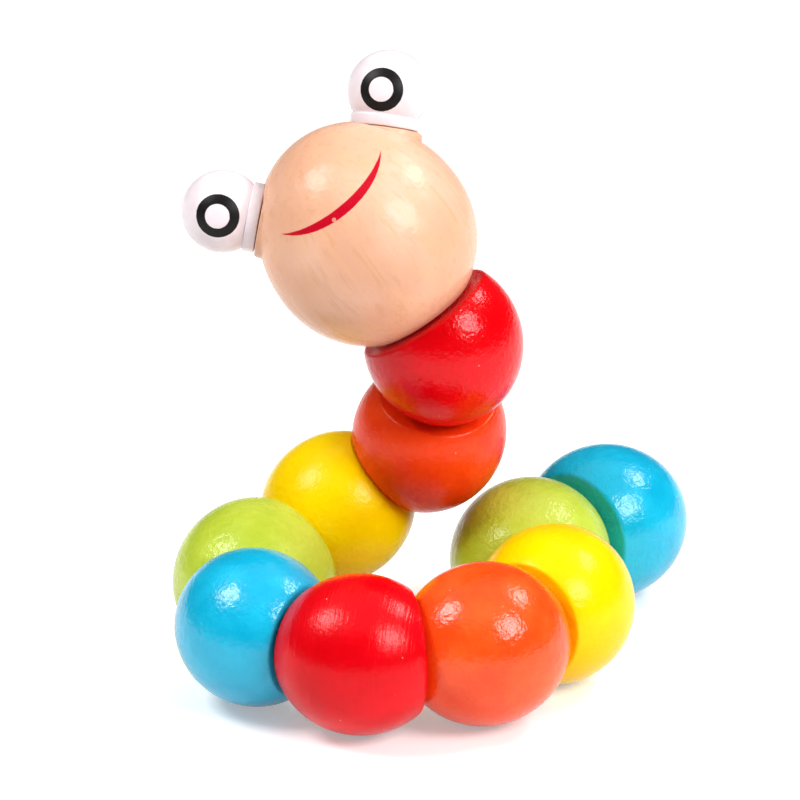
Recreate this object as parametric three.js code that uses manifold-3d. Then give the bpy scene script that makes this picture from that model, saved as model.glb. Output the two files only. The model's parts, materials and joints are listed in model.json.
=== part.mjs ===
// A wooden twist inchworm: a ball head with two ball eyes on a chain of ten wedge-cut beads.
// Every bead has two flat faces that lean towards each other, so the chain bends by a fixed angle at each
// bead, and the only motion is the twist of one flat face on the next, about a swivel pin.
// Millimetres and degrees, +Z up, standing as it was photographed, with the table at Z = 0.
import * as THREE from 'three';
import { mergeVertices } from 'three/addons/utils/BufferGeometryUtils.js';
import Module from 'manifold-3d';

const wasm = await Module();
wasm.setup();

// Beads
const BEAD_EXTRA_LENGTH = 2; // how much longer a bead is turned than it is across, before its faces are cut
const BEAD_PITCH = 22; // centre to centre of two joined beads
const FACE_GAP = 0.4; // running gap between two joined faces
const EDGE_ROUND = 1.2; // rounding of the rim of a flat face

// Head
const HEAD_DIAMETER = 37.5;
const HEAD_CROWN = 21.5; // centre of the head to the top of its longer, egg-shaped upper half
const HEAD_PITCH = 22.8; // centre of the head to the centre of the first bead
const NECK_FACE = 15.8; // centre of the head to its flat neck face

// Eyes
const EYE_DIAMETER = 14.5;
const EYE_REACH = 26.1; // centre of the head to the centre of an eye
const EYE_SPREAD = 86.5; // angle between the two eyes
const EYE_LEAN = 17; // the eyes are set this far behind the neck's line
const COLLAR_DIAMETER = 12.2;
const COLLAR_LENGTH = 2.1;
const COLLAR_DROP = 6.6; // centre of the eye to the base of its collar
const COLLAR_CHAMFER = 0.35;
const SEAT_DIAMETER = 13.4; // low seat on the head, faced off flat
const SEAT_DEPTH = 5; // how far the seat reaches down into the ball
const SEAT_FLARE = 0.6; // how far the seat widens over that depth
const SEAT_EDGE = 0.3; // chamfer round the seat

// Eye dowels
const DOWEL_DIAMETER = 4;
const DOWEL_IN_EYE = 5;
const DOWEL_IN_HEAD = 7;
const DOWEL_CHAMFER = 0.4;

// Swivel pins and the bushes that hold them
const PIN_DIAMETER = 3;
const PIN_GRIP = 6.5; // length pressed into the bead behind the joint
const PIN_CAP_DIAMETER = 4.4;
const PIN_CAP_LENGTH = 2;
const PIN_TIP_DIAMETER = 2.4;
const BUSH_DIAMETER = 7;
const BUSH_LENGTH = 6;
const BUSH_NECK = 2.6; // length of the narrow bore behind the pin's cap
const FIT = 0.2; // clearance between pieces that are fitted into each other
const TURNING_FIT = 0.25; // clearance round a pin in its bush

// The chain from the tail to the head. The beads are turned and cut by hand, so their diameter across the
// turning axis and the wedge between their two faces differ a little. twist is how far a bead is turned on
// the one behind it, and seam is how far the joint behind it lies off the middle between the two beads,
// towards the tail.
const RED = 0xd0101c;
const ORANGE = 0xf0641e;
const YELLOW = 0xffdc00;
const GREEN = 0x9cc832;
const BLUE = 0x1e9cc8;
const BEADS = [
  { name: 'bead_10_blue', paint: BLUE, across: 28, wedge: 47, twist: 0, seam: 0 },
  { name: 'bead_9_green', paint: GREEN, across: 28.5, wedge: 49, twist: 0, seam: 2.1 },
  { name: 'bead_8_yellow', paint: YELLOW, across: 28, wedge: 45, twist: 180, seam: 0 },
  { name: 'bead_7_orange', paint: ORANGE, across: 28.5, wedge: 43, twist: 0, seam: 1.2 },
  { name: 'bead_6_red', paint: RED, across: 28, wedge: 46, twist: 0, seam: -1.4 },
  { name: 'bead_5_blue', paint: BLUE, across: 27.5, wedge: 55, twist: 0, seam: -0.6 },
  { name: 'bead_4_green', paint: GREEN, across: 28.5, wedge: 50.5, twist: -28, seam: 0 },
  { name: 'bead_3_yellow', paint: YELLOW, across: 26.5, wedge: 47.5, twist: -19.5, seam: 0 },
  { name: 'bead_2_orange', paint: ORANGE, across: 27, wedge: 43, twist: -49, seam: 0 },
  { name: 'bead_1_red', paint: RED, across: 28, wedge: 47, twist: -43, seam: 1.6 },
];
const HEAD_TWIST = -133; // turns the face on the first bead

// The pose on the table: three of the beads that carry the chain, and the line of the front pair
const RESTS_ON = ['bead_10_blue', 'bead_4_green', 'bead_6_red'];
const FRONT_PAIR = ['bead_6_red', 'bead_7_orange'];
const FRONT_HEADING = 12; // from the X axis

// Facets round the axis of each kind of turned piece
const BEAD_FACETS = 20;
const HEAD_FACETS = 24;
const EYE_FACETS = 16;
const PIN_FACETS = 8;
const BUSH_FACETS = 10;
const RIM_STEPS = 2; // facets across a rounded rim

const MID_FACE = (BEAD_PITCH - FACE_GAP) / 2; // bead centre to a face whose joint lies midway
const NECK_BEAD_FACE = HEAD_PITCH - NECK_FACE - FACE_GAP; // first bead's centre to its face at the neck
const BUSH_START = FIT; // the bush sits this far below its face
const BUSH_POCKET = BUSH_START + BUSH_LENGTH + FIT;
const SEAT_TOP = EYE_REACH - COLLAR_DROP - FIT; // centre of the head to the top of an eye seat

const point = (radius, height) => new THREE.Vector2(radius, height);

// A solid turned about Z from a profile of [radius, height] points, from its lowest end to its highest.
function turned(profile, facets) {
  const geometry = new THREE.LatheGeometry(profile, facets);
  geometry.rotateX(Math.PI / 2);
  return closed(geometry);
}

// The same shape with its shared corners merged.
function closed(geometry) {
  geometry.deleteAttribute('normal');
  geometry.deleteAttribute('uv');
  return mergeVertices(geometry, 1e-4);
}

function solidOf(geometry) {
  const mesh = new wasm.Mesh({
    numProp: 3,
    vertProperties: new Float32Array(geometry.attributes.position.array),
    triVerts: new Uint32Array(geometry.index.array),
  });
  return new wasm.Manifold(mesh);
}

function geometryOf(solid) {
  const mesh = solid.getMesh();
  const geometry = new THREE.BufferGeometry();
  geometry.setAttribute('position', new THREE.BufferAttribute(new Float32Array(mesh.vertProperties), 3));
  geometry.setIndex(new THREE.BufferAttribute(new Uint32Array(mesh.triVerts), 1));
  return geometry;
}

// A named piece with its own finish.
function piece(name, geometry, color, roughness, metalness = 0) {
  geometry.computeVertexNormals();
  const material = new THREE.MeshStandardMaterial({ color, roughness, metalness });
  const mesh = new THREE.Mesh(geometry, material);
  mesh.name = name;
  return mesh;
}

// A ball with its poles on Z, at the given heights above and below its middle.
function ball(diameter, above, below, facets) {
  const rows = 2 * Math.round(facets * 0.3);
  const geometry = new THREE.SphereGeometry(diameter / 2, facets, rows);
  geometry.rotateX(Math.PI / 2);
  const corners = geometry.attributes.position;
  for (let index = 0; index < corners.count; index += 1) {
    const height = corners.getZ(index);
    corners.setZ(index, (height * (height > 0 ? above : below)) / (diameter / 2));
  }
  return closed(geometry);
}

// All the space below a flat face at the given height on Z, with a rounded rim that runs out
// tangent to a ball of the given radius.
function belowFace(face, ballRadius, facets) {
  const inner = ballRadius - EDGE_ROUND;
  const flat = Math.sqrt(inner * inner - (face - EDGE_ROUND) ** 2);
  const lean = Math.asin(flat / inner);
  const reach = 2 * ballRadius;
  const profile = [point(0, -reach), point(reach, -reach)];
  const rimRadius = flat + EDGE_ROUND * Math.sin(lean);
  const rimHeight = face - EDGE_ROUND * (1 - Math.cos(lean));
  profile.push(point(reach, rimHeight - (reach - rimRadius) * Math.tan(lean)));
  for (let step = RIM_STEPS; step >= 0; step -= 1) {
    const angle = (lean * step) / RIM_STEPS;
    const drop = EDGE_ROUND * (1 - Math.cos(angle));
    profile.push(point(flat + EDGE_ROUND * Math.sin(angle), face - drop));
  }
  profile.push(point(0, face));
  return turned(profile, facets);
}

// A round hole from well above a face at the given height on Z, down to the given depth.
function hole(diameter, face, depth, facets) {
  const radius = diameter / 2;
  const above = face + depth;
  const below = face - depth;
  return turned([point(0, below), point(radius, below), point(radius, above), point(0, above)], facets);
}

// The turns about Y that point a shape on Z at a bead's head-side joint and at its tail-side joint.
const headTurn = (wedge) => THREE.MathUtils.degToRad(wedge) / 2;
const tailTurn = (wedge) => Math.PI - headTurn(wedge);

// A bead: a turned ball cut by its two flat faces, with a hole for the pin on the head side and, unless it
// is the tail, a pocket for the next bush on the tail side.
function bead(across, wedge, headFace, tailFace) {
  const length = across + BEAD_EXTRA_LENGTH;
  const rimBall = (across + length) / 4;
  const towardsHead = new THREE.Matrix4().makeRotationY(headTurn(wedge));
  const towardsTail = new THREE.Matrix4().makeRotationY(tailTurn(wedge));
  let solid = solidOf(ball(across, length / 2, length / 2, BEAD_FACETS));
  const headCut = belowFace(headFace, rimBall, BEAD_FACETS).applyMatrix4(towardsHead);
  const pinHole = hole(PIN_DIAMETER + 2 * FIT, headFace, PIN_GRIP + FIT, PIN_FACETS);
  solid = solid.intersect(solidOf(headCut)).subtract(solidOf(pinHole.applyMatrix4(towardsHead)));
  if (tailFace !== null) {
    const tailCut = belowFace(tailFace, rimBall, BEAD_FACETS).applyMatrix4(towardsTail);
    const pocket = hole(BUSH_DIAMETER + 2 * FIT, tailFace, BUSH_POCKET, BUSH_FACETS);
    solid = solid.intersect(solidOf(tailCut)).subtract(solidOf(pocket.applyMatrix4(towardsTail)));
  }
  return geometryOf(solid);
}

// A swivel pin, with the face that it stands in at Z = 0: a plain shank and a mushroom cap that holds
// behind the neck of the bush.
function swivelPin() {
  const shank = PIN_DIAMETER / 2;
  const cap = PIN_CAP_DIAMETER / 2;
  const capStart = FACE_GAP + BUSH_START + BUSH_NECK + FIT;
  const capEnd = capStart + PIN_CAP_LENGTH;
  return turned(
    [
      point(0, -PIN_GRIP),
      point(shank, -PIN_GRIP),
      point(shank, capStart),
      point(cap, capStart),
      point(cap, (capStart + capEnd) / 2),
      point(PIN_TIP_DIAMETER / 2, capEnd),
      point(0, capEnd),
    ],
    PIN_FACETS,
  );
}

// A bush, with the face that it is let into at Z = 0 and its body below: a sleeve with a narrow neck for the
// shank and a wider chamber for the cap.
function swivelBush() {
  const neck = PIN_DIAMETER / 2 + TURNING_FIT;
  const chamber = PIN_CAP_DIAMETER / 2 + TURNING_FIT;
  const outer = BUSH_DIAMETER / 2;
  const top = -BUSH_START;
  const bottom = top - BUSH_LENGTH;
  const step = top - BUSH_NECK;
  return turned(
    [
      point(chamber, bottom),
      point(outer, bottom),
      point(outer, top),
      point(neck, top),
      point(neck, step),
      point(chamber, step),
      point(chamber, bottom),
    ],
    BUSH_FACETS,
  );
}

// The head: an egg with a low flat seat for each eye, a flat neck face, and holes for the dowels and bush.
function head() {
  let solid = solidOf(ball(HEAD_DIAMETER, HEAD_CROWN, HEAD_DIAMETER / 2, HEAD_FACETS));
  for (const side of [-1, 1]) {
    const seat = solidOf(eyeSeat().applyMatrix4(eyeDirection(side)));
    const cutter = solidOf(seatCutter().applyMatrix4(eyeDirection(side)));
    const dowelHole = hole(DOWEL_DIAMETER + 2 * FIT, SEAT_TOP, DOWEL_IN_HEAD + FIT, PIN_FACETS);
    solid = solid.add(seat).subtract(cutter).subtract(solidOf(dowelHole.applyMatrix4(eyeDirection(side))));
  }
  const downwards = new THREE.Matrix4().makeRotationX(Math.PI);
  const neckCut = belowFace(NECK_FACE, HEAD_DIAMETER / 2, HEAD_FACETS).applyMatrix4(downwards);
  const pocket = hole(BUSH_DIAMETER + 2 * FIT, NECK_FACE, BUSH_POCKET, BUSH_FACETS).applyMatrix4(downwards);
  return geometryOf(solid.intersect(solidOf(neckCut)).subtract(solidOf(pocket)));
}

// The seat of one eye, on Z, from inside the ball to a little above the flat that it is cut down to.
function eyeSeat() {
  const radius = SEAT_DIAMETER / 2;
  const foot = SEAT_TOP - SEAT_DEPTH;
  const top = SEAT_TOP + SEAT_EDGE;
  const profile = [point(0, foot), point(radius + SEAT_FLARE, foot), point(radius, top), point(0, top)];
  return turned(profile, EYE_FACETS);
}

// The cutter that faces a seat off and breaks its edge. It clears the collar of the eye.
function seatCutter() {
  const radius = SEAT_DIAMETER / 2;
  const reach = SEAT_TOP + EYE_DIAMETER;
  return turned(
    [
      point(0, SEAT_TOP),
      point(radius - SEAT_EDGE, SEAT_TOP),
      point(radius + SEAT_EDGE, SEAT_TOP - 2 * SEAT_EDGE),
      point(radius + SEAT_EDGE, reach),
      point(0, reach),
    ],
    EYE_FACETS,
  );
}

// Where an eye stands on the head: side -1 is the left eye and 1 the right one, seen from the front.
function eyeDirection(side) {
  const lean = new THREE.Matrix4().makeRotationX(-THREE.MathUtils.degToRad(EYE_LEAN));
  const spread = new THREE.Matrix4().makeRotationY((side * THREE.MathUtils.degToRad(EYE_SPREAD)) / 2);
  return lean.multiply(spread);
}

// An eye, with its centre at Z = 0: a ball on a ring collar, with a blind hole for its dowel.
function eye() {
  const radius = EYE_DIAMETER / 2;
  const collar = COLLAR_DIAMETER / 2;
  const bore = DOWEL_DIAMETER / 2 + FIT;
  const boreEnd = -COLLAR_DROP + DOWEL_IN_EYE + FIT;
  const profile = [
    point(0, boreEnd),
    point(bore, boreEnd),
    point(bore, -COLLAR_DROP),
    point(collar - COLLAR_CHAMFER, -COLLAR_DROP),
    point(collar, -COLLAR_DROP + COLLAR_CHAMFER),
    point(collar, -COLLAR_DROP + COLLAR_LENGTH - COLLAR_CHAMFER),
    point(collar - COLLAR_CHAMFER, -COLLAR_DROP + COLLAR_LENGTH),
  ];
  const start = Math.asin((COLLAR_LENGTH - COLLAR_DROP) / radius);
  const steps = EYE_FACETS / 2;
  for (let step = 0; step <= steps; step += 1) {
    const angle = start + ((Math.PI / 2 - start) * step) / steps;
    profile.push(point(step === steps ? 0 : radius * Math.cos(angle), radius * Math.sin(angle)));
  }
  return turned(profile, EYE_FACETS);
}

// A dowel that joins an eye to its seat, with the centre of the eye at Z = 0.
function eyeDowel() {
  const radius = DOWEL_DIAMETER / 2;
  const top = -COLLAR_DROP + DOWEL_IN_EYE;
  const bottom = SEAT_TOP - EYE_REACH - DOWEL_IN_HEAD;
  return turned(
    [
      point(0, bottom),
      point(radius - DOWEL_CHAMFER, bottom),
      point(radius, bottom + DOWEL_CHAMFER),
      point(radius, top - DOWEL_CHAMFER),
      point(radius - DOWEL_CHAMFER, top),
      point(0, top),
    ],
    PIN_FACETS,
  );
}

// A group turned about one axis.
function turnedGroup(parent, axis, angle) {
  const group = new THREE.Group();
  group.rotation[axis] = angle;
  parent.add(group);
  return group;
}

// The chain, from the tail to the head. Each bead's group stands on the link from the bead behind it.
const chain = new THREE.Group();
const centres = {};
let place = chain;
BEADS.forEach((spec, index) => {
  const number = BEADS.length - index;
  const ahead = BEADS[index + 1];
  const headFace = ahead ? MID_FACE - ahead.seam : NECK_BEAD_FACE;
  const tailFace = index > 0 ? MID_FACE + spec.seam : null;
  place.add(piece(spec.name, bead(spec.across, spec.wedge, headFace, tailFace), spec.paint, 0.28));
  centres[spec.name] = place;

  if (tailFace !== null) {
    const joint = turnedGroup(place, 'y', tailTurn(spec.wedge));
    const bush = piece(`swivel_bush_${number + 1}`, swivelBush(), 0xe8e4da, 0.5);
    bush.position.z = tailFace;
    joint.add(bush);
  }

  const link = turnedGroup(place, 'y', headTurn(spec.wedge));
  const pin = piece(`swivel_pin_${number}`, swivelPin(), 0xb4b4b0, 0.35, 0.9);
  pin.position.z = headFace;
  link.add(pin);
  const twist = THREE.MathUtils.degToRad(ahead ? ahead.twist : HEAD_TWIST);
  const next = turnedGroup(link, 'z', twist);
  next.position.z = ahead ? BEAD_PITCH : HEAD_PITCH;
  place = ahead ? turnedGroup(next, 'y', headTurn(ahead.wedge)) : next;
});

// The head and the eyes.
place.add(piece('head', head(), 0xf0c89c, 0.3));
const neckBush = piece('swivel_bush_1', swivelBush(), 0xe8e4da, 0.5);
const neck = turnedGroup(place, 'x', Math.PI);
neckBush.position.z = NECK_FACE;
neck.add(neckBush);
for (const [name, side] of [['left', -1], ['right', 1]]) {
  const socket = new THREE.Group();
  socket.applyMatrix4(eyeDirection(side));
  place.add(socket);
  const eyeball = piece(`eye_${name}`, eye(), 0xf8f6f4, 0.22);
  const dowel = piece(`eye_dowel_${name}`, eyeDowel(), 0xd8b080, 0.7);
  eyeball.position.z = EYE_REACH;
  dowel.position.z = EYE_REACH;
  socket.add(eyeball, dowel);
}

// Level the three beads that carry the chain, turn the front pair to its heading, and set the whole down
// with the middle of its base at the origin.
const centreOf = (name) => centres[name].getWorldPosition(new THREE.Vector3());
chain.updateMatrixWorld(true);
const [first, second, third] = RESTS_ON.map(centreOf);
const up = second.clone().sub(first).cross(third.clone().sub(first)).normalize();
const level = new THREE.Quaternion().setFromUnitVectors(up, new THREE.Vector3(0, 0, 1));
const front = centreOf(FRONT_PAIR[1]).sub(centreOf(FRONT_PAIR[0])).applyQuaternion(level);
const turn = THREE.MathUtils.degToRad(FRONT_HEADING) - Math.atan2(front.y, front.x);
const heading = new THREE.Quaternion().setFromAxisAngle(new THREE.Vector3(0, 0, 1), turn);
chain.quaternion.copy(heading.multiply(level));

const inchworm = new THREE.Group();
inchworm.add(chain);
inchworm.updateMatrixWorld(true);
const box = new THREE.Box3().setFromObject(inchworm, true);
const middle = box.getCenter(new THREE.Vector3());
inchworm.position.set(-middle.x, -middle.y, -box.min.z);

export default inchworm;
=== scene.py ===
"""A wooden twist inchworm: a ball head with two ball eyes on a chain of ten painted, wedge-cut beads.

It stands as it was photographed, curled on a white table. Every bead turns on the next about a swivel pin.
"""

import json
import math

import bmesh
import bpy
from mathutils import Matrix, Vector
from mathutils.geometry import intersect_line_line


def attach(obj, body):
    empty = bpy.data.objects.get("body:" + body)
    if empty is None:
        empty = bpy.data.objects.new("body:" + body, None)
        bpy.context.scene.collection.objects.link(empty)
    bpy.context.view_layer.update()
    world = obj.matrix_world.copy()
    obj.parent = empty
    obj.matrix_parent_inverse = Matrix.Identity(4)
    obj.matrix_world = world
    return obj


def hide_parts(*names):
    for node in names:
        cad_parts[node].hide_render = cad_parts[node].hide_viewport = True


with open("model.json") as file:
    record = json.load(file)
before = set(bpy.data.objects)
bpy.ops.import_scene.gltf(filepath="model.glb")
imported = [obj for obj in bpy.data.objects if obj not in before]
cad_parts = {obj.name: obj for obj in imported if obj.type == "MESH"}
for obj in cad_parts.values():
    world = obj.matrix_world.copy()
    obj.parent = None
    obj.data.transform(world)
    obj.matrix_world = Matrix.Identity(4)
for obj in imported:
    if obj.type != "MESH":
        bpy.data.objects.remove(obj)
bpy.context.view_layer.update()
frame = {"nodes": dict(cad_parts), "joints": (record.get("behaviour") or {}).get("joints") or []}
joints = {joint["name"]: joint for joint in frame["joints"]}


# BEADS
# Ten beads of hard wood, turned slightly longer than round, then cut with two flat faces that lean
# towards each other. The rims are eased, and each face has a hole for the swivel pin or its bush.
# They are dipped in gloss paint, so the lathe marks and the grain still show through the shine.
MM = 0.001
BEAD_EXTRA_LENGTH = 2 * MM
FACE_GAP = 0.4 * MM
RIM_ROUND = 0.8 * MM
TAIL_WEDGE = math.radians(47)
TAIL_FACE = 8.7 * MM
PIN_HOLE_RADIUS = 1.7 * MM
PIN_HOLE_DEPTH = 6.7 * MM
BUSH_POCKET_RADIUS = 3.7 * MM
BUSH_POCKET_DEPTH = 6.4 * MM
FACETS = 96
BELLY_RINGS = 20
RIM_RINGS = 5
FACE_STRIP = 0.4
SMOOTH_UNDER = math.radians(38)
NEARLY = 1e-6
WELD = 1e-7


def lean_selected(angle):
    """Leans what is selected over about Y, from Z towards X.
    Without a window the operator turns the other way, so the angle is given a minus."""
    bpy.ops.transform.rotate(value=-angle, orient_axis="Y", center_override=(0, 0, 0))


def raise_rings(rings):
    """From the selected loop, which lies at the first ring, pulls up one loop for each further ring.
    A ring is its radius, its height and how far its axis leans."""
    for (radius, height, lean), (next_radius, next_height, next_lean) in zip(rings, rings[1:]):
        bpy.ops.mesh.extrude_region()
        if lean:
            lean_selected(-lean)
        size = next_radius / radius
        bpy.ops.transform.resize(value=(size, size, 1), center_override=(0, 0, 0))
        bpy.ops.transform.translate(value=(0, 0, next_height - height))
        if next_lean:
            lean_selected(next_lean)


def select_where(wanted):
    """In edit mode, selects the corners that pass the test, and the edges between them."""
    bpy.ops.mesh.select_mode(type="VERT")
    bpy.ops.mesh.select_all(action="DESELECT")
    mesh = bmesh.from_edit_mesh(bpy.context.object.data)
    for corner in mesh.verts:
        corner.select = wanted(corner)
    mesh.select_flush(True)
    bmesh.update_edit_mesh(bpy.context.object.data)


def flat_rings(height, lean, rim):
    """Rings on a ball of radius 1, from its middle up to a flat face with a rounded rim."""
    inner = math.sqrt((1 - rim) ** 2 - (height - rim) ** 2)
    rim_angle = math.atan2(inner, height - rim)
    rings = []
    for step in range(BELLY_RINGS + 1):
        share = step / BELLY_RINGS
        angle = math.pi / 2 + (rim_angle - math.pi / 2) * share
        rings.append((math.sin(angle), math.cos(angle), lean * share))
    for step in range(1, RIM_RINGS + 1):
        angle = rim_angle * (1 - step / RIM_RINGS)
        rings.append((inner + rim * math.sin(angle), height - rim + rim * math.cos(angle), lean))
    rings.append((inner - FACE_STRIP * rim, height, lean))
    return rings


def round_rings():
    """Rings on a ball of radius 1, from its middle up to its pole."""
    angles = [math.pi / 2 * (1 - step / (2 * BELLY_RINGS)) for step in range(2 * BELLY_RINGS + 1)]
    return [(math.sin(angle) if angle > NEARLY else 0.0, math.cos(angle), 0.0) for angle in angles]


def start_ring(radius, height):
    """Begins a new piece as one loop of edges about Z, in edit mode."""
    bpy.ops.object.select_all(action="DESELECT")
    bpy.ops.mesh.primitive_circle_add(vertices=FACETS, radius=radius, fill_type="NOTHING", location=(0, 0, 0))
    bpy.ops.object.mode_set(mode="EDIT")
    bpy.ops.mesh.select_all(action="SELECT")
    bpy.ops.transform.translate(value=(0, 0, height))


def drill(direction, face, radius, depth):
    """Sinks a round, flat-bottomed hole into the open flat face at this distance along a direction."""
    centre = direction * face
    select_where(lambda corner: corner.is_boundary and corner.co.dot(direction) > face - NEARLY)
    mesh = bmesh.from_edit_mesh(bpy.context.object.data)
    loop = [corner for corner in mesh.verts if corner.select]
    rim = sum((corner.co - centre).length for corner in loop) / len(loop)
    bpy.ops.mesh.extrude_region()
    size = radius / rim
    bpy.ops.transform.resize(value=(size, size, size), center_override=centre)
    bpy.ops.mesh.extrude_region()
    bpy.ops.transform.translate(value=-direction * depth)
    bpy.ops.mesh.edge_face_add()


def finish_piece(name, place):
    """Closes the piece, turns its faces outwards, smooths it and moves it, with its mesh, to its place."""
    bpy.ops.mesh.select_all(action="SELECT")
    bpy.ops.mesh.remove_doubles(threshold=WELD)
    bpy.ops.mesh.normals_make_consistent(inside=False)
    bpy.ops.object.mode_set(mode="OBJECT")
    piece = bpy.context.object
    piece.name = name
    piece.data.name = name
    bpy.ops.object.shade_smooth_by_angle(angle=SMOOTH_UNDER)
    piece.matrix_world = place
    bpy.ops.object.transform_apply(location=True, rotation=True, scale=True)
    return piece


def wedge_ball(diameter, length, ahead, behind):
    """A ball turned about Z, with a flat face ahead and one behind, each given as
    lean, distance, hole radius and hole depth. A face of None leaves that end round."""
    half = Vector((diameter / 2, diameter / 2, length / 2))
    start_ring(1, 0)
    faces = []
    for side, face in ((1, ahead), (-1, behind)):
        if side < 0:
            select_where(lambda corner: abs(corner.co.z) < NEARLY)
        if face is None:
            rings = round_rings()
        else:
            lean, distance, radius, depth = face
            normal = Vector((math.sin(lean), 0, math.cos(lean)))
            squeezed = normal * half
            faces.append((Vector((normal.x, 0, side * normal.z)), distance, radius, depth))
            rim = RIM_ROUND / half.length * math.sqrt(3)
            unit_lean = math.atan2(squeezed.x, squeezed.z)
            rings = flat_rings(distance / squeezed.length, unit_lean, rim)
        raise_rings([(radius, side * height, side * lean) for radius, height, lean in rings])
    bpy.ops.mesh.select_all(action="SELECT")
    bpy.ops.transform.resize(value=half, center_override=(0, 0, 0))
    for face in faces:
        drill(*face)


class Shade:
    """One value, colour or vector on its way through a finish's nodes. Sums on it add Math nodes."""

    def __init__(self, finish, socket):
        self.finish = finish
        self.socket = socket

    def sum_with(self, operation, first, second):
        return self.finish.node("ShaderNodeMath", {"operation": operation}, {0: first, 1: second})

    def __add__(self, other):
        return self.sum_with("ADD", self, other)

    def __radd__(self, other):
        return self.sum_with("ADD", other, self)

    def __sub__(self, other):
        return self.sum_with("SUBTRACT", self, other)

    def __rsub__(self, other):
        return self.sum_with("SUBTRACT", other, self)

    def __mul__(self, other):
        return self.sum_with("MULTIPLY", self, other)

    def __rmul__(self, other):
        return self.sum_with("MULTIPLY", other, self)


class Finish:
    """A material built node by node around one Principled shader."""

    def __init__(self, name):
        self.material = bpy.data.materials.new(name)
        self.material.use_nodes = True
        self.tree = self.material.node_tree
        self.tree.nodes.clear()

    def node(self, kind, settings, inputs, output=0):
        """Adds a node, sets it up, joins or fills its sockets, and returns one of its outputs, if any."""
        made = self.tree.nodes.new(kind)
        for setting, value in settings.items():
            setattr(made, setting, value)
        for socket, value in inputs.items():
            if isinstance(value, Shade):
                self.tree.links.new(value.socket, made.inputs[socket])
            else:
                made.inputs[socket].default_value = value
        return Shade(self, made.outputs[output]) if len(made.outputs) else None

    def place(self, frame_matrix):
        """Object coordinates in millimetres, from a piece's own centre and along its own axes."""
        where = self.node("ShaderNodeTexCoord", {}, {}, "Object")
        inputs = {
            "Vector": where,
            "Location": frame_matrix.translation,
            "Rotation": frame_matrix.to_euler(),
            "Scale": (MM, MM, MM),
        }
        return self.node("ShaderNodeMapping", {"vector_type": "TEXTURE"}, inputs)

    def stretched(self, vector, parts):
        """A vector with each of its parts multiplied."""
        return self.node("ShaderNodeVectorMath", {"operation": "MULTIPLY"}, {0: vector, 1: parts})

    def noise(self, vector, scale, detail, roughness):
        """A cloudy pattern between 0 and 1."""
        inputs = {"Vector": vector, "Scale": scale, "Detail": detail, "Roughness": roughness}
        return self.node("ShaderNodeTexNoise", {}, inputs, "Fac")

    def between(self, value, low, high):
        """0 below low, 1 above high, and smooth between them."""
        inputs = {"Value": value, "From Min": low, "From Max": high}
        return self.node("ShaderNodeMapRange", {"interpolation_type": "SMOOTHSTEP"}, inputs)

    def past(self, value, edge, width):
        """0 before an edge and 1 past it, smooth over a width."""
        return self.between(value, edge - width / 2, edge + width / 2)

    def ragged(self, vector, scale, width):
        """A small wander to both sides of 0, for the edge of a print or a brush stroke."""
        return self.noise(vector, scale, 2.0, 0.5) * width - width / 2

    def mixed(self, share, first, second):
        """One colour turning into another as share goes from 0 to 1.
        The Mix node's sockets for colours are its inputs 6 and 7 and its output 2."""
        return self.node("ShaderNodeMix", {"data_type": "RGBA"}, {0: share, 6: first, 7: second}, 2)

    def bumped(self, height, depth, normal=None):
        """A normal dented by a height, which counts this depth in metres."""
        inputs = {"Height": height, "Distance": depth, "Strength": 1.0}
        if normal is not None:
            inputs["Normal"] = normal
        return self.node("ShaderNodeBump", {}, inputs)

    def close(self, inputs):
        """Ends in the Principled shader with these sockets."""
        shader = self.node("ShaderNodeBsdfPrincipled", {}, inputs)
        self.node("ShaderNodeOutputMaterial", {}, {"Surface": shader})
        return self.material


def dab(red, green, blue):
    """A colour as it is seen, 0 to 255, made linear."""
    parts = [part / 255 for part in (red, green, blue)]
    linear = [part / 12.92 if part <= 0.04045 else ((part + 0.055) / 1.055) ** 2.4 for part in parts]
    return (*linear, 1.0)


# The patterns in the paint are measured per millimetre, across the bead and along it.
POOL_SCALE = 0.09
GRAIN_STRETCH = (2.2, 2.2, 0.16)
GROOVE_STRETCH = (0.05, 0.05, 1.7)
PEEL_SCALE = 1.0
POOLED_BLUR = 0.08
SPECK_SCALE = 0.22
SPECK_CORE = 0.012
SPECK_EDGE = 0.04
SPECK_HEIGHT = 0.02 * MM
SPECK_COLOUR = dab(255, 240, 225)


def gloss_paint(name, bead_place, deep, light, grooves, peel, shine, blur):
    """Gloss paint on turned wood: a thin coat that pools a little, follows the lathe grooves round the
    bead and the grain along it, dries with a fine orange peel, and holds a few specks of dust."""
    finish = Finish(name)
    where = finish.place(bead_place)
    pooled = finish.noise(where, POOL_SCALE, 3.0, 0.6)
    grain = finish.noise(finish.stretched(where, GRAIN_STRETCH), 1.0, 3.0, 0.6)
    groove = finish.noise(finish.stretched(where, GROOVE_STRETCH), 1.0, 2.0, 0.7)
    skin = finish.noise(where, PEEL_SCALE, 2.0, 0.6)
    speck_far = finish.node("ShaderNodeTexVoronoi", {}, {"Vector": where, "Scale": SPECK_SCALE}, "Distance")
    speck = 1 - finish.between(speck_far, SPECK_CORE, SPECK_EDGE)
    share = finish.between(pooled * 0.8 + grain * 0.1 + groove * 0.1, 0.36, 0.64)
    colour = finish.mixed(share, deep, light)
    colour = finish.mixed(speck * 0.35, colour, SPECK_COLOUR)
    normal = finish.bumped(groove, grooves * MM)
    normal = finish.bumped(skin, peel * MM, normal)
    normal = finish.bumped(speck, SPECK_HEIGHT, normal)
    return finish.close(
        {
            "Base Color": colour,
            "Roughness": blur + POOLED_BLUR * pooled,
            "Specular IOR Level": shine,
            "Normal": normal,
        }
    )


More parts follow.
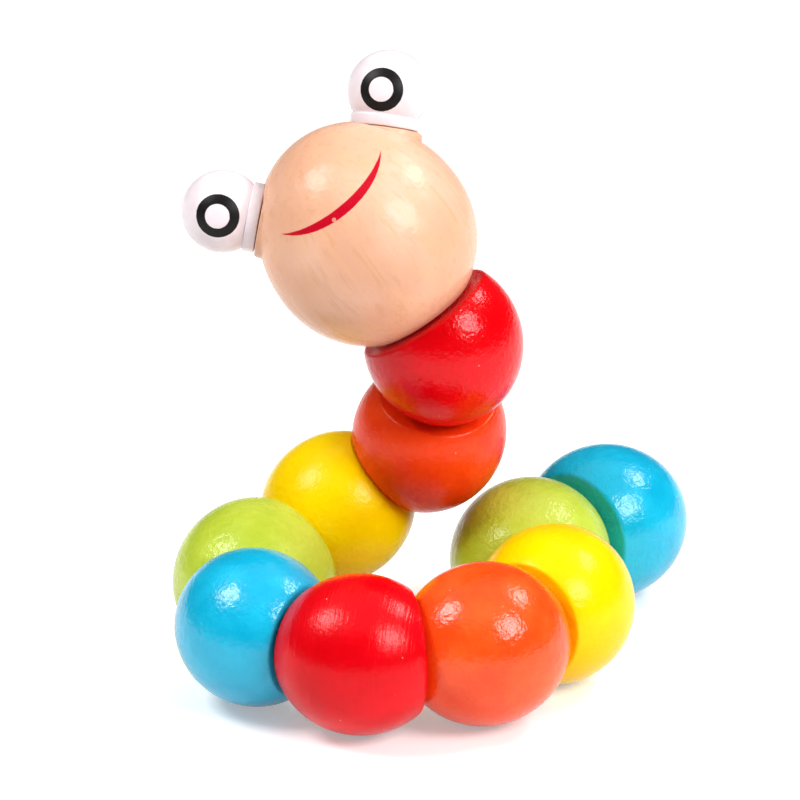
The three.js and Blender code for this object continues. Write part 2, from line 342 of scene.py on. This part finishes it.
# Each coat: its deep and its light colour, the depth in mm of its lathe grooves and of its orange peel,
# how strongly it shines, and how blurred that shine is. The first bead has a thicker, glossier coat. The
# second bead's orange is painted darker and redder as shade under the red bead, and it shines less.
COATS = {
    "red": (dab(218, 0, 12), dab(234, 2, 20), 0.085, 0.07, 0.2, 0.2),
    "thick_red": (dab(220, 0, 9), dab(236, 0, 16), 0.015, 0.13, 0.24, 0.15),
    "orange": (dab(244, 74, 16), dab(253, 94, 32), 0.008, 0.12, 0.38, 0.14),
    # Bead 2's orange: darker, redder colours that are painted shade from the red bead above it.
    "shaded_orange": (dab(238, 54, 8), dab(250, 72, 18), 0.008, 0.12, 0.24, 0.2),
    "yellow": (dab(253, 210, 0), dab(255, 222, 0), 0.005, 0.12, 0.15, 0.18),
    "green": (dab(184, 204, 54), dab(202, 220, 78), 0.006, 0.2, 0.32, 0.18),
    "blue": (dab(6, 173, 213), dab(26, 191, 229), 0.005, 0.13, 0.42, 0.15),
}
# Bead 1 takes the thicker red coat. Bead 2 takes the darker orange, which is painted shade.
THICK_AND_SHADED_COATS = {1: "thick_red", 2: "shaded_orange"}

bead_names = {}
for node in frame["nodes"]:
    if node.startswith("bead_"):
        _, number, paint = node.split("_")
        bead_names[int(number)] = (node, paint)

spin = None
bead_centres = {}
for number in sorted(bead_names):
    node, paint = bead_names[number]
    joint_ahead = joints[f"twist_{number}"]
    seam_ahead = Vector(joint_ahead["pos_m"])
    to_head = Vector(joint_ahead["axis"]).normalized()
    if number + 1 in bead_names:
        joint_behind = joints[f"twist_{number + 1}"]
        seam_behind = Vector(joint_behind["pos_m"])
        from_tail = Vector(joint_behind["axis"]).normalized()
        meeting = intersect_line_line(seam_ahead, seam_ahead - to_head, seam_behind, seam_behind + from_tail)
        centre = (meeting[0] + meeting[1]) / 2
        spin = from_tail.cross(to_head).normalized()
        lean = from_tail.angle(to_head) / 2
        tail_cut = (lean, (seam_behind - centre).length - FACE_GAP / 2, BUSH_POCKET_RADIUS, BUSH_POCKET_DEPTH)
    else:
        centre = seam_ahead - to_head * (TAIL_FACE + FACE_GAP / 2)
        lean = TAIL_WEDGE / 2
        tail_cut = None
    bead_centres[number] = centre
    turning_axis = Matrix.Rotation(-lean, 3, spin) @ to_head
    side_axis = spin.cross(turning_axis)
    axes = Matrix((side_axis, spin, turning_axis)).transposed()
    bead_place = Matrix.Translation(centre) @ axes.to_4x4()

    reach = [corner.co.dot(spin) for corner in frame["nodes"][node].data.vertices]
    diameter = max(reach) - min(reach)
    head_cut = (lean, (seam_ahead - centre).length - FACE_GAP / 2, PIN_HOLE_RADIUS, PIN_HOLE_DEPTH)
    wedge_ball(diameter, diameter + BEAD_EXTRA_LENGTH, head_cut, tail_cut)
    bead = finish_piece(f"painted_{node}", bead_place)
    coat = COATS[THICK_AND_SHADED_COATS.get(number, paint)]
    bead.data.materials.append(gloss_paint(f"{paint}_gloss_{number}", bead_place, *coat))
    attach(bead, f"bead_{number}")
    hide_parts(node)


# HEAD
# A turned, slightly egg-shaped ball of pale, close-grained wood under clear lacquer, cut flat at the neck.
# Two low flat seats carry the eyes. The grain runs along the neck, and the smile is brushed on in red.
HEAD_DIAMETER = 37.5 * MM
HEAD_CROWN = 21.5 * MM
NECK_FACE = 15.8 * MM
SEAT_RADIUS = 6.7 * MM
SEAT_TOP = 19.3 * MM
SEAT_DEPTH = 5 * MM
SEAT_FLARE = 0.6 * MM
SEAT_EDGE = 0.3 * MM
DOWEL_HOLE_RADIUS = 2.2 * MM
DOWEL_HOLE_DEPTH = 7.2 * MM

neck_joint = joints["twist_1"]
neck_axis = Vector(neck_joint["axis"]).normalized()
head_centre = Vector(neck_joint["pos_m"]) + neck_axis * (FACE_GAP / 2 + NECK_FACE)


def middle_of(node):
    """The middle of a CAD node's corners."""
    corners = {tuple(round(part, 7) for part in corner.co) for corner in frame["nodes"][node].data.vertices}
    return sum((Vector(corner) for corner in corners), Vector()) / len(corners)


eye_axes = {side: (middle_of(f"eye_dowel_{side}") - head_centre).normalized() for side in ("left", "right")}
across = eye_axes["right"] - eye_axes["left"]
face_right = (across - neck_axis * across.dot(neck_axis)).normalized()
face_back = neck_axis.cross(face_right)
head_axes = Matrix((face_right, face_back, neck_axis)).transposed()
head_place = Matrix.Translation(head_centre) @ head_axes.to_4x4()

wedge_ball(HEAD_DIAMETER, HEAD_DIAMETER, None, (0.0, NECK_FACE, BUSH_POCKET_RADIUS, BUSH_POCKET_DEPTH))
select_where(lambda corner: corner.co.z > NEARLY)
bpy.ops.transform.resize(value=(1, 1, 2 * HEAD_CROWN / HEAD_DIAMETER), center_override=(0, 0, 0))
head = finish_piece("wood_head", head_place)


def standing_on(direction, origin):
    """A place with Z along a direction."""
    turn = Vector((0, 0, 1)).rotation_difference(direction)
    return Matrix.Translation(origin) @ turn.to_matrix().to_4x4()


def cut_or_join(piece, tool, operation):
    """Joins a tool shape to a piece, or cuts it out, and removes the tool."""
    bpy.ops.object.select_all(action="DESELECT")
    bpy.context.view_layer.objects.active = piece
    piece.select_set(True)
    change = piece.modifiers.new(operation.lower(), "BOOLEAN")
    change.operation = operation
    change.solver = "EXACT"
    change.object = tool
    bpy.ops.object.modifier_apply(modifier=change.name)
    bpy.data.objects.remove(tool)


def turned_tool(name, rings, axis):
    """A solid turned from rings of radius and height, closed at both ends, along an axis of the head."""
    start_ring(*rings[0])
    bpy.ops.mesh.edge_face_add()
    select_where(lambda corner: True)
    raise_rings([(radius, height, 0) for radius, height in rings])
    bpy.ops.mesh.edge_face_add()
    return finish_piece(name, standing_on(axis, head_centre))


seat_rings = [(SEAT_RADIUS + SEAT_FLARE, SEAT_TOP - SEAT_DEPTH), (SEAT_RADIUS, SEAT_TOP + SEAT_EDGE)]
cutter_rings = [(SEAT_RADIUS - SEAT_EDGE, SEAT_TOP)]
for step in range(1, RIM_RINGS + 1):
    angle = math.pi / 2 * step / RIM_RINGS
    cutter_rings.append(
        (SEAT_RADIUS - SEAT_EDGE * (1 - math.sin(angle)), SEAT_TOP - SEAT_EDGE * (1 - math.cos(angle)))
    )
cutter_rings.append((SEAT_RADIUS + SEAT_EDGE, SEAT_TOP - 2 * SEAT_EDGE))
cutter_rings.append((SEAT_RADIUS + SEAT_EDGE, SEAT_TOP + SEAT_DEPTH))
dowel_rings = [
    (DOWEL_HOLE_RADIUS, SEAT_TOP - DOWEL_HOLE_DEPTH),
    (DOWEL_HOLE_RADIUS, SEAT_TOP + DOWEL_HOLE_DEPTH),
]
for axis in eye_axes.values():
    cut_or_join(head, turned_tool("seat", seat_rings, axis), "UNION")
    cut_or_join(head, turned_tool("seat_cutter", cutter_rings, axis), "DIFFERENCE")
    cut_or_join(head, turned_tool("dowel_drill", dowel_rings, axis), "DIFFERENCE")
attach(head, "head")
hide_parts("head")

# The smile is a crescent between two circles on the head, each about an axis in the head's own directions.
SMILE_LOW_AXIS = (-0.077, -0.365, 0.928)
SMILE_LOW_ANGLE = math.radians(37.14)
SMILE_HIGH_AXIS = (-0.076, -0.217, 0.973)
SMILE_HIGH_ANGLE = math.radians(41.0)
SMILE_FRONT = -0.3
SMILE_FADE = 0.02
SMILE_COLOUR = dab(197, 7, 36)
BRUSH_EDGE = 0.004
CHIP_AT = (-0.19, -0.826, 0.531)
CHIP_EDGE = 0.999975
CHIP_CORE = 0.999992
CHIP_DEPTH = 0.7

# The wood's patterns are stretched along the grain. Each has its own tint over the pale ground.
FIBRE_STRETCH = (0.5, 0.5, 0.03)
LINE_STRETCH = (0.9, 0.9, 0.02)
PORE_STRETCH = (3.4, 3.4, 0.9)
WOOD_DEEP = dab(230, 173, 141)
WOOD_LIGHT = dab(241, 191, 163)
FIBRE_COLOUR = dab(240, 184, 138)
LINE_COLOUR = dab(212, 148, 102)
PORE_COLOUR = dab(208, 148, 108)
PORE_DENT = 0.014 * MM
LACQUER_WAVE = 0.14 * MM

wood = Finish("lacquered_wood")
where = wood.place(head_place)
cloud = wood.noise(where, 0.055, 2.0, 0.5)
fibres = wood.noise(wood.stretched(where, FIBRE_STRETCH), 1.0, 3.0, 0.55)
lines = wood.noise(wood.stretched(where, LINE_STRETCH), 1.0, 2.0, 0.5)
pores = wood.noise(wood.stretched(where, PORE_STRETCH), 1.0, 3.0, 0.65)
colour = wood.mixed(wood.between(cloud, 0.35, 0.65), WOOD_DEEP, WOOD_LIGHT)
colour = wood.mixed(wood.between(fibres, 0.4, 0.7) * 0.35, colour, FIBRE_COLOUR)
colour = wood.mixed(wood.between(lines, 0.54, 0.68) * 0.2, colour, LINE_COLOUR)
colour = wood.mixed(wood.between(pores, 0.5, 0.76) * 0.2, colour, PORE_COLOUR)

heading = wood.node("ShaderNodeVectorMath", {"operation": "NORMALIZE"}, {0: where})
brushed = wood.ragged(where, 1.6, BRUSH_EDGE)


def facing(axis):
    """How closely a point of the head lies along an axis: 1 straight on it, less further round."""
    return wood.node("ShaderNodeVectorMath", {"operation": "DOT_PRODUCT"}, {0: heading, 1: axis}, "Value")


below = 1 - wood.past(facing(SMILE_HIGH_AXIS) + brushed, math.cos(SMILE_HIGH_ANGLE), BRUSH_EDGE)
above = wood.past(facing(SMILE_LOW_AXIS) + brushed, math.cos(SMILE_LOW_ANGLE), BRUSH_EDGE)
depth = wood.node("ShaderNodeSeparateXYZ", {}, {0: heading}, "Y")
front = 1 - wood.between(depth, SMILE_FRONT - SMILE_FADE, SMILE_FRONT)
chip = wood.between(facing(CHIP_AT), CHIP_EDGE, CHIP_CORE)
colour = wood.mixed(below * above * front * (1 - CHIP_DEPTH * chip), colour, SMILE_COLOUR)
skin = wood.noise(where, 0.5, 2.0, 0.5)
normal = wood.bumped(pores, PORE_DENT)
normal = wood.bumped(skin, LACQUER_WAVE, normal)
head.data.materials.clear()
head.data.materials.append(
    wood.close(
        {
            "Base Color": colour,
            "Roughness": 0.2 + 0.12 * pores,
            "Specular IOR Level": 0.22,
            "Normal": normal,
        }
    )
)


# EYES
# Two turned balls, each with a short collar, dipped in white lacquer and pegged to the head with a dowel.
# A black ring is printed on the front of each ball.
EYE_DIAMETER = 14.5 * MM
EYE_REACH = 26.1 * MM
COLLAR_RADIUS = 6.1 * MM
COLLAR_DROP = 6.6 * MM
COLLAR_LENGTH = 2.1 * MM
COLLAR_ROUND = 0.35 * MM
EYE_BORE_RADIUS = 2.2 * MM
EYE_BORE_DEPTH = 5.2 * MM
EYE_RINGS = 36
EYE_DEEP = dab(240, 226, 230)
EYE_LIGHT = dab(244, 233, 238)
LACQUER_RIPPLE = 0.02 * MM

# The printed ring is measured in millimetres, about an axis in the head's own directions.
RING_OUTER = 3.8
RING_INNER = 2.15
RING_EDGE = 0.12
RING_FRONT = 0.1
RING_AXES = {"left": (-0.206, -0.96, 0.192), "right": (-0.183, -0.915, 0.361)}
INK_DEEP = dab(9, 7, 8)
INK_WORN = dab(28, 23, 22)
INK_DENT = 0.01 * MM

for side, axis in eye_axes.items():
    radius = EYE_DIAMETER / 2
    collar_top = COLLAR_LENGTH - COLLAR_DROP
    rings = [(EYE_BORE_RADIUS, EYE_BORE_DEPTH - COLLAR_DROP, 0), (EYE_BORE_RADIUS, -COLLAR_DROP, 0)]
    for step in range(2 * RIM_RINGS + 1):
        angle = math.pi * step / (2 * RIM_RINGS) - math.pi / 2
        middle = COLLAR_ROUND - COLLAR_DROP if angle < 0 else collar_top - COLLAR_ROUND
        rings.append(
            (COLLAR_RADIUS - COLLAR_ROUND * (1 - math.cos(angle)), middle + COLLAR_ROUND * math.sin(angle), 0)
        )
    start = math.asin(collar_top / radius)
    for step in range(EYE_RINGS + 1):
        angle = start + (math.pi / 2 - start) * step / EYE_RINGS
        rings.append((0.0 if step == EYE_RINGS else radius * math.cos(angle), radius * math.sin(angle), 0))
    start_ring(rings[0][0], rings[0][1])
    bpy.ops.mesh.edge_face_add()
    select_where(lambda corner: True)
    raise_rings(rings)
    eye_centre = head_centre + axis * EYE_REACH
    eye_place = standing_on(axis, eye_centre)
    eye = finish_piece(f"lacquered_eye_{side}", eye_place)

    lacquer = Finish(f"white_lacquer_{side}")
    look_place = standing_on(head_axes @ Vector(RING_AXES[side]), eye_centre)
    where = lacquer.place(look_place)
    flat = lacquer.stretched(where, (1.0, 1.0, 0.0))
    distance = lacquer.node("ShaderNodeVectorMath", {"operation": "LENGTH"}, {0: flat}, "Value")
    distance = distance + lacquer.ragged(where, 2.5, RING_EDGE)
    depth = lacquer.node("ShaderNodeSeparateXYZ", {}, {0: where}, "Z")
    inside = 1 - lacquer.past(distance, RING_OUTER, RING_EDGE)
    ring = lacquer.past(distance, RING_INNER, RING_EDGE) * inside * lacquer.between(depth, 0.0, RING_FRONT)
    mottle = lacquer.noise(where, 0.35, 2.0, 0.5)
    skin = lacquer.noise(where, 0.7, 2.0, 0.5)
    worn = lacquer.noise(where, 4.0, 3.0, 0.6)
    colour = lacquer.mixed(lacquer.between(mottle, 0.35, 0.65), EYE_DEEP, EYE_LIGHT)
    ink = lacquer.mixed(lacquer.between(worn, 0.45, 0.7), INK_DEEP, INK_WORN)
    colour = lacquer.mixed(ring, colour, ink)
    normal = lacquer.bumped(skin, LACQUER_RIPPLE)
    normal = lacquer.bumped(worn * ring, INK_DENT, normal)
    eye.data.materials.append(
        lacquer.close(
            {
                "Base Color": colour,
                "Roughness": 0.2 + 0.2 * ring + 0.06 * skin,
                "Specular IOR Level": 0.2,
                "Normal": normal,
            }
        )
    )
    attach(eye, "head")
    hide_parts(f"eye_{side}")


# SWIVELS AND DOWELS
# Inside the chain: mushroom-headed steel pins, the plastic bushes that grip them, and two bare wood dowels
# that peg the eyes to the head. They keep their turned shapes and get their own finishes.
def inner_finish(name, pattern, deep, light, blur, spread, dent, metallic):
    """A plain finish with one pattern in its colour, its blur and its dents, which are in mm."""
    finish = Finish(name)
    mottle = finish.noise(finish.place(Matrix.Identity(4)), *pattern)
    return finish.close(
        {
            "Base Color": finish.mixed(mottle, deep, light),
            "Metallic": metallic,
            "Roughness": blur + spread * mottle,
            "Normal": finish.bumped(mottle, dent * MM),
        }
    )


steel_colours = (dab(150, 150, 148), dab(196, 196, 192))
nylon_colours = (dab(222, 216, 204), dab(240, 236, 226))
dowel_colours = (dab(190, 146, 96), dab(226, 186, 136))
inner_finishes = {
    "swivel_pin": inner_finish("drawn_steel", (1.6, 3.0, 0.6), *steel_colours, 0.28, 0.2, 0.01, 1.0),
    "swivel_bush": inner_finish("bush_nylon", (0.8, 2.0, 0.5), *nylon_colours, 0.42, 0.16, 0.01, 0.0),
    "eye_dowel": inner_finish("bare_dowel_wood", (1.8, 4.0, 0.6), *dowel_colours, 0.6, 0.25, 0.03, 0.0),
}
for node, piece in frame["nodes"].items():
    for kind, finish in inner_finishes.items():
        if node.startswith(kind):
            for material_slot in piece.material_slots:
                material_slot.material = finish


# TABLE, LIGHT AND CAMERA
# A white table under soft studio light: one soft box high on the left, two on the right, a weak wide one
# overhead, and an even white surround. The camera stands in front, a little above, with a long lens.
TABLE_SIZE = 12.0
TABLE_WHITE = (0.86, 0.86, 0.86, 1.0)
TABLE_GLOW = 0.36
WHITE = (1.0, 1.0, 1.0, 1.0)
SURROUND = 0.06
AIM = bead_centres[6] + Vector((6.99, 16.24, 40.65)) * MM
CAMERA_DISTANCE = 1.25
CAMERA_ELEVATION = math.radians(20.852)
CAMERA_YAW = math.radians(0.323)
LENS = 326.64
SENSOR_WIDTH = 36
FAR_END = 100

bpy.ops.object.select_all(action="DESELECT")
bpy.ops.mesh.primitive_plane_add(size=TABLE_SIZE, location=(0, 0, 0))
table = bpy.context.object
table.name = "white_table"
white = Finish("white_table_top")
seen = white.node("ShaderNodeLightPath", {}, {}, "Is Camera Ray")
mirrored = white.node("ShaderNodeLightPath", {}, {}, "Is Glossy Ray")
through = white.node("ShaderNodeLightPath", {}, {}, "Is Transmission Ray")
glow_strength = (seen + mirrored + through) * TABLE_GLOW
matt = white.node("ShaderNodeBsdfDiffuse", {}, {"Color": TABLE_WHITE})
glow = white.node("ShaderNodeEmission", {}, {"Color": WHITE, "Strength": glow_strength})
both = white.node("ShaderNodeAddShader", {}, {0: matt, 1: glow})
white.node("ShaderNodeOutputMaterial", {}, {"Surface": both})
table.data.materials.append(white.material)

world = bpy.data.worlds.new("white_surround")
world.use_nodes = True
bpy.context.scene.world = world
background = world.node_tree.nodes["Background"]
background.inputs["Color"].default_value = WHITE
background.inputs["Strength"].default_value = SURROUND

# Each soft box: its direction from the worm, its distance, width and height in metres, and its brightness.
SOFT_BOXES = {
    "left_box": ((-0.62, -0.09, 0.76), 0.65, 0.25, 0.25, 15.5),
    "right_box": ((0.62, -0.53, 0.58), 0.65, 0.29, 0.28, 14.0),
    "upper_right_box": ((0.64, 0.27, 0.72), 0.65, 0.23, 0.13, 15.0),
    "ceiling": ((0.0, 0.0, 1.0), 0.9, 1.4, 1.4, 0.5),
}
for name, (direction, distance, width, height, brightness) in SOFT_BOXES.items():
    lamp = bpy.data.lights.new(name, "AREA")
    lamp.shape = "RECTANGLE"
    lamp.size = width
    lamp.size_y = height
    lamp.energy = brightness * math.pi * width * height
    box = bpy.data.objects.new(name, lamp)
    bpy.context.scene.collection.objects.link(box)
    box.location = AIM + Vector(direction).normalized() * distance
    box.rotation_euler = Vector(direction).to_track_quat("Z", "Y").to_euler()

camera = bpy.data.cameras.new("camera")
camera.lens = LENS
camera.sensor_width = SENSOR_WIDTH
camera.clip_end = FAR_END
stand = bpy.data.objects.new("camera", camera)
bpy.context.scene.collection.objects.link(stand)
back = Vector((-math.sin(CAMERA_YAW), -math.cos(CAMERA_YAW), 0)) * math.cos(CAMERA_ELEVATION)
back.z = math.sin(CAMERA_ELEVATION)
stand.location = AIM + back * CAMERA_DISTANCE
stand.rotation_euler = (math.pi / 2 - CAMERA_ELEVATION, 0, -CAMERA_YAW)
bpy.context.scene.camera = stand
bpy.context.scene.view_settings.view_transform = "Standard"
